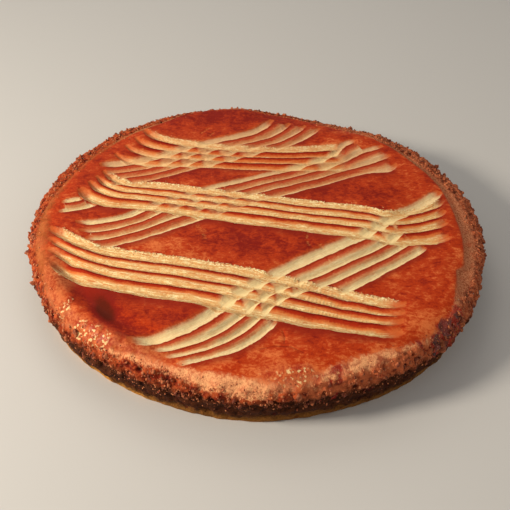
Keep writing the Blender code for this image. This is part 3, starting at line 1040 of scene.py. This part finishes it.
def strips(crust, family):
    # From a sharp dark edge each strip fades through orange to bare dough
    looks = stripLooks[family]
    place = crust.place
    side = crust.field(family + "Side")
    torn = crust.field(family + "Torn")
    travel = crust.field(family + "Travel")
    along = place.node("ShaderNodeCombineXYZ", {}, {0: travel * 0.12, 1: side * 3.2})
    streak = along.clouds(1.0, 3.0, 0.6)
    angle = place.maths("ARCTAN2", crust.field(family + "Wave"), crust.field(family + "Swing"))
    rise = place.maths("FRACT", angle * (0.5 / math.pi), 0.0) / (crust.field(family + "Soft") + 0.001)
    fade = crust.ragged(rise + (streak - 0.5) * 0.5, grain=0.3, fine=0.15)
    colour = fade.between(0.05, 0.35).blend(tint(looks["deep"]), tint(looks["middle"]))
    colour = fade.between(0.40, 0.72).blend(colour, tint(looks["light"]))
    colour = fade.between(0.68, 1.0).blend(colour, doughColour(crust, along, streak, looks))
    # The far edge is wide and soft, or crisp where the glaze tore; the near edge is always crisp
    ragged = crust.ragged(crust.field(family + "Inside") + (streak - 0.5) * 0.34, grain=0.30, fine=0.20)
    tornEdge = torn.between(0.6, 1.0)
    farSide = side.between(-0.3, 0.2)
    crisp = (ragged + crust.grain - 0.5).between(-0.22, 0.05)
    far = (ragged + torn * 0.8).between(-0.45, 0.78) * (1 - tornEdge * (1 - crisp))
    near = ragged.between(0.0, 0.12)
    reach = near + (far - near) * farSide
    ridge = crust.field(family + "Ridge").between(0.3, 0.7)
    fringe = far.between(0.95, 0.3) * farSide * (1 - ridge) * (1 - tornEdge)
    fresh = crust.ragged(crust.field(family + "Fresh") + (streak - 0.5) * 0.6, patch=0.8).between(0.0, 0.85)
    # Bright grains along the torn edge
    sparkle = place.clouds(0.9, 1.0).between(0.54, 0.64) * ragged.between(-0.35, -0.1)
    sparkle = sparkle * ragged.between(0.45, 0.2) * farSide * tornEdge * 0.9
    cover = (reach + (1 - reach) * ridge) * fresh
    return {
        "colour": crust.layered(colour, (fringe, "strip fringe"), (sparkle, "strip sparkle")),
        "cover": cover + (1 - cover) * sparkle * fresh,
        "fade": fade,
        "streak": streak,
        "grooved": ragged.between(-0.2, 0.5) * (1 - fresh),
        "shadow": ragged.between(-1.9, -0.2) * (1 - farSide) * fresh,
    }


def topColour(crust, long, cross):
    # The glaze with both families of strips; where they cross, the paler strip shows
    top = glazeColour(crust)
    for marks in (long, cross):
        top = crust.layered(
            top, (marks["shadow"] * 0.8, "strip shadow"), (marks["grooved"] * 0.7, "groove end"))
    top = long["cover"].blend(top, long["colour"])
    paler = (cross["fade"] - long["fade"]).between(-0.2, 0.2)
    # painted light: where a cross strip lies over a long one its dough is made lighter and yellower
    lit = crust.layered(cross["colour"], (long["cover"] * 0.4, "crossing light"))
    top = (cross["cover"] * (1 - long["cover"] * (1 - paler))).blend(top, lit)
    scuff = crust.field("scuff")
    scuffed = crust.ragged(scuff, grain=0.7, fine=0.4).between(0.12, 0.40) * scuff.between(0.02, 0.12)
    # painted shade: the creases in the glaze are darkened
    creaseShade = crust.ragged(crust.field("crease"), grain=0.2).between(0.12, 0.30)
    return crust.layered(top, (scuffed * 0.4, "scuff"), (creaseShade * 0.4, "crease"))


def withSwelling(crust, top, pale):
    # The puffy border at the front left is duller than the rest of the glaze
    swelling = crust.ragged(crust.field("glaze"), patch=5.0).between(9.0, 2.0)
    swelling = swelling * crust.field("frontLeft") * (1 - pale)
    return (swelling * 0.85).blend(top, crust.pair(crust.blotches(0.5, 0.38, 0.62), "swelling"))


def lipColours(crust):
    # The plain lip outside the glaze, and its colour on the right, which the crumbs there share
    grain, fine = crust.grain, crust.fine
    rightLip = crust.pair((grain * 0.5 + fine * 0.5).between(0.42, 0.58), "right lip")
    leftLip = crust.pair(crust.patch.between(0.35, 0.65), "left lip")
    lip = crust.pair(crust.field("front"), "lip")
    lip = (crust.field("right") * 0.85).blend(lip, rightLip)
    lip = (crust.field("left") * 0.9).blend(lip, leftLip)
    rosy = crust.field("rim").between(-6.0, 0.0) * crust.blotches(0.4, 0.40, 0.60) * crust.field("front")
    # painted shade: the lip's cracks at the front right are darkened
    cracks = crust.field("frontRight") * crust.crag.between(0.2, -0.7)
    lip = crust.layered(
        lip,
        (grain.between(0.46, 0.68) * 0.40, "lip grain"),
        (fine.between(0.50, 0.66) * 0.18, "lip speck"),
        (crust.place.clouds(5, 3.0).between(0.5, 0.7) * 0.4, "lip patch"),
        (rosy * 0.45, "rosy lip"),
        (cracks * 0.7, "lip crack shade"))
    return lip, rightLip


def crumbColour(crust, rightLip):
    # Painted shade darkens the cracks between the crumbs and painted light brightens their tops, following
    # their relief; at the front right the tops get more painted light
    crumb = crust.layered(
        crust.pair(crust.crag.between(-1.1, -0.2), "crumb"),
        (crust.crag.between(-0.3, 0.8), "crumb top light"),
        (crust.place.clouds(11, 2.0).between(0.45, 0.65) * 0.35, "crumb patch"))
    crumb = (crust.field("right") * 0.4).blend(crumb, rightLip)
    lit = crust.field("frontRight") * crust.crag.between(-0.9, 0.3)
    return crust.layered(crumb, (lit * 0.8, "front right crumb light"))


def sideColour(crust):
    # Dark under the rim, partly painted shade, brown at the foot, and a painted highlight golden along the
    # foot at the front left
    low = crust.field("low")
    rough = crust.ragged(crust.crag * 0.35, grain=1.2, fine=0.8)
    litFoot = crust.ragged(low, grain=0.5).between(0.80, 1.0) * crust.field("frontLeft")
    return crust.layered(
        crust.pair(rough.between(-0.6, 0.6), "side"),
        (crust.ragged(low, grain=0.4).between(0.62, 0.98), "foot"),
        (litFoot * 0.8, "foot highlight"))


def borderColour(crust):
    # Outwards from the glaze: the plain lip, the crumbly rim and the side
    lip, rightLip = lipColours(crust)
    crumbly = crust.ragged(crust.field("rim"), grain=3.0, patch=2.0).between(-0.9, 0.9)
    border = crumbly.blend(lip, crumbColour(crust, rightLip))
    return crust.ragged(crust.field("low"), grain=0.3).between(-0.12, 0.22).blend(border, sideColour(crust))


def withStains(crust, colour):
    # Syrup on the wet glaze, painted shade in the pits between the crumbs, the leaked filling with its thin
    # edges and painted glints, and painted highlight specks on the wet glaze
    wet = crust.field("wet")
    leak = crust.field("jam")
    syrup = crust.pair(crust.blotches(0.4, 0.40, 0.60), "syrup")
    colour = (wet.between(0.12, 0.45) * crust.field("front") * 0.75).blend(colour, syrup)
    pits = (crust.grain - 0.5) * 0.9 - crust.crag * 0.40
    # painted shade: the crevices between the crumbs are darkened
    creviceShade = pits.between(0.15, 0.65) * (1 - crust.edge) * crust.field("rim").between(-0.5, 2.5)
    colour = crust.layered(colour, (creviceShade * 0.8, "crevice shade"))
    jam = (leak + pits - crust.edge * 0.45).between(0.15, 0.65) * leak.between(0.0, 0.15)
    blotches = crust.blotches(0.5, 0.38, 0.62)
    juice = leak.between(0.85, 1.1).blend(
        crust.pair(blotches, "thin juice"), crust.pair(blotches, "thick juice"))
    juice = crust.layered(juice, (crust.fine.between(0.60, 0.70) * 0.6, "glint"))
    # painted highlights: pale specks scattered over the wet glaze
    moist = crust.ragged(wet, patch=1.4).between(0.35, 0.75)
    wetHighlights = crust.place.clouds(1.4, 0.5).between(0.55, 0.65) * moist
    return crust.layered((jam * 0.9).blend(colour, juice), (wetHighlights * 0.8, "wet highlight")), jam


def crustRelief(crust, long, cross, shiny, wet):
    # Heights for the bump: grains, streaks along the strips, pearls where it is wet, and rough crumbs
    relief = (crust.grain * 0.5 + crust.fine * 0.4) * (1 - shiny * 0.72) + crust.patch * shiny * 0.4
    relief = relief + (long["streak"] * long["cover"] + cross["streak"] * cross["cover"]) * 0.6
    relief = relief + wet * (crust.fine * 1.4 + crust.grain)
    rough = crust.crag * 0.8 + crust.fine * 0.9 + crust.grain * 0.6
    return relief + (1 - crust.edge) * rough * (crust.field("rim").between(-3.0, 1.0) * 0.6 + 0.4)


def crustMaterial():
    material, surface, place = newMaterial("baked crust")
    crust = Crust(place)
    long = strips(crust, "long")
    cross = strips(crust, "cross")
    pale = long["cover"] + cross["cover"] * (1 - long["cover"])
    top = withSwelling(crust, topColour(crust, long, cross), pale)
    colour, jam = withStains(crust, crust.edge.blend(borderColour(crust), top))
    plug(colour, surface, "Base Color")
    wet = crust.field("wet").between(0.25, 0.75) * crust.edge
    shiny = crust.edge * (1 - pale)
    gloss = shiny * (0.26 + (crust.patch - 0.5) * 0.3) + wet * 0.30 + jam * 0.4
    plug(0.80 - gloss, surface, "Roughness")
    plug(wet * 0.06 + jam * crust.field("jam").between(0.8, 1.1) * 0.4, surface, "Coat Weight")
    surface.inputs["Coat Roughness"].default_value = 0.28
    surface.inputs["Specular IOR Level"].default_value = 0.10
    addBump(crustRelief(crust, long, cross, shiny, wet), surface, 0.6, 0.6 * mm)
    return material


# Crumbs: Geometry Nodes scatter small rough grains where a field of the body asks for them

class Knots:
    # A Geometry Nodes tree with named inputs
    def __init__(self, name):
        self.tree = bpy.data.node_groups.new(name, "GeometryNodeTree")
        self.start = self.tree.nodes.new("NodeGroupInput")
        self.codes = {}

    def size(self, name, kind="NodeSocketFloat"):
        self.codes[name] = self.tree.interface.new_socket(name, in_out="INPUT", socket_type=kind).identifier
        return Wire(self.tree, self.start.outputs[name])

    def finish(self, wire):
        self.tree.interface.new_socket("Geometry", in_out="OUTPUT", socket_type="NodeSocketGeometry")
        end = self.tree.nodes.new("NodeGroupOutput")
        self.tree.links.new(wire.socket, end.inputs["Geometry"])


def crumbTree():
    knots = Knots("scatteredCrumbs")
    ground = knots.size("Geometry", "NodeSocketGeometry")
    field = knots.size("Field", "NodeSocketString")
    perArea = knots.size("Crumbs per square metre")
    smallest = knots.size("Smallest")
    largest = knots.size("Largest")
    ruggedness = knots.size("Ruggedness")
    seed = knots.size("Seed", "NodeSocketInt")
    paint = knots.size("Material", "NodeSocketMaterial")
    wanted = field.node("GeometryNodeInputNamedAttribute", {"data_type": "FLOAT"}, {"Name": field})
    points = ground.node("GeometryNodeDistributePointsOnFaces", {"distribute_method": "RANDOM"}, {
        "Mesh": ground, "Density": wanted * perArea, "Seed": seed})
    fullTurn = (2 * math.pi, 2 * math.pi, 2 * math.pi)
    turn = seed.node("FunctionNodeRandomValue", {"data_type": "FLOAT_VECTOR"},
                     {0: (0, 0, 0), 1: fullTurn, "Seed": seed})
    # Small crumbs are far more common than large ones
    chance = seed.node("FunctionNodeRandomValue", {"data_type": "FLOAT"}, {2: 0.0, 3: 1.0, "Seed": seed}, 1)
    scale = chance.node("ShaderNodeMapRange", {},
                        {"Value": chance ** 2.5, "To Min": smallest, "To Max": largest})
    grain = ground.node("GeometryNodeMeshUVSphere", {}, {"Segments": 6, "Rings": 5, "Radius": 1.0})
    flat = grain.node("GeometryNodeTransform", {}, {"Geometry": grain, "Scale": (1.25, 0.9, 0.65)})
    spread = points.node("GeometryNodeInstanceOnPoints", {}, {
        "Points": points, "Instance": flat, "Rotation": turn, "Scale": scale})
    real = spread.node("GeometryNodeRealizeInstances", {}, {"Geometry": spread})
    bumps = real.node("ShaderNodeTexNoise", {"noise_dimensions": "3D"},
                      {"Scale": 1700.0, "Detail": 1.0}, "Color")
    centred = bumps.node("ShaderNodeVectorMath", {"operation": "SUBTRACT"}, {0: bumps, 1: (0.5, 0.5, 0.5)})
    push = centred.node("ShaderNodeVectorMath", {"operation": "SCALE"}, {0: centred, "Scale": ruggedness})
    moved = real.node("GeometryNodeSetPosition", {}, {"Geometry": real, "Offset": push})
    knots.finish(moved.node("GeometryNodeSetMaterial", {}, {"Geometry": moved, "Material": paint}))
    return knots


def scatter(knots, name, ground, inputs):
    holder = placed(name, ground)
    modifier = holder.modifiers.new("crumbs", "NODES")
    modifier.node_group = knots.tree
    for key, value in inputs.items():
        modifier[knots.codes[key]] = value
    mesh = evaluated(holder)
    bpy.data.objects.remove(holder)
    mesh.name = name
    mesh.shade_smooth()
    print(name, "has", len(mesh.polygons), "faces")
    return mesh


def crumbMaterial(name, dark, light, roughness):
    material, surface, place = newMaterial(name)
    patches = place.clouds(2.5, 2.0)
    colour = patches.between(0.35, 0.65).blend(tint(dark), tint(light))
    plug(colour, surface, "Base Color")
    surface.inputs["Roughness"].default_value = roughness
    addBump(place.clouds(0.4, 2.0, 0.6), surface, 0.4, 0.3 * mm)
    return material


crumbLooks = {
    "rim crumbs": {"dark": "702c10", "light": "bc683c", "roughness": 0.8},
    "rim grit": {"dark": "8a3618", "light": "d88452", "roughness": 0.8},
    "groove burrs": {"dark": "dd9a58", "light": "f6d9a0", "roughness": 0.7},
}
# Scattered pieces: the field that asks for them, grains per square metre, their smallest and largest size
# and their ruggedness in mm, seed and look
scattered = {
    "rimCrumbs": ("crumbs", 130000.0, 0.30, 1.15, 1.3, 4, "rim crumbs"),
    "rimGrit": ("grit", 235000.0, 0.19, 0.60, 0.6, 6, "rim grit"),
    "rimFlakes": ("flakes", 14000.0, 0.9, 2.2, 2.2, 12, "rim crumbs"),
    "grooveBurrs": ("burrs", 1800000.0, 0.14, 0.45, 0.4, 9, "groove burrs"),
}


placeCamera(viewpoint)
lightStudio(studio)
print("camera and studio ready")

bodyMesh = thinnedBody()
nameFields(bodyMesh)
bodyMesh.materials.append(crustMaterial())
cakeBody = addPiece("cakeBody", bodyMesh)
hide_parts("cake")
print("cake body of", len(bodyMesh.polygons), "faces")

crumbKnots = crumbTree()
crumbPaints = {name: crumbMaterial(name, **looks) for name, looks in crumbLooks.items()}
for name, (field, perArea, smallest, largest, ruggedness, seed, look) in scattered.items():
    addPiece(name, scatter(crumbKnots, name, bodyMesh, {
        "Field": field, "Crumbs per square metre": perArea,
        "Smallest": smallest * mm, "Largest": largest * mm, "Ruggedness": ruggedness * mm,
        "Seed": seed, "Material": crumbPaints[look]}))
print("crumbs scattered")

scene.view_settings.view_transform = "Standard"
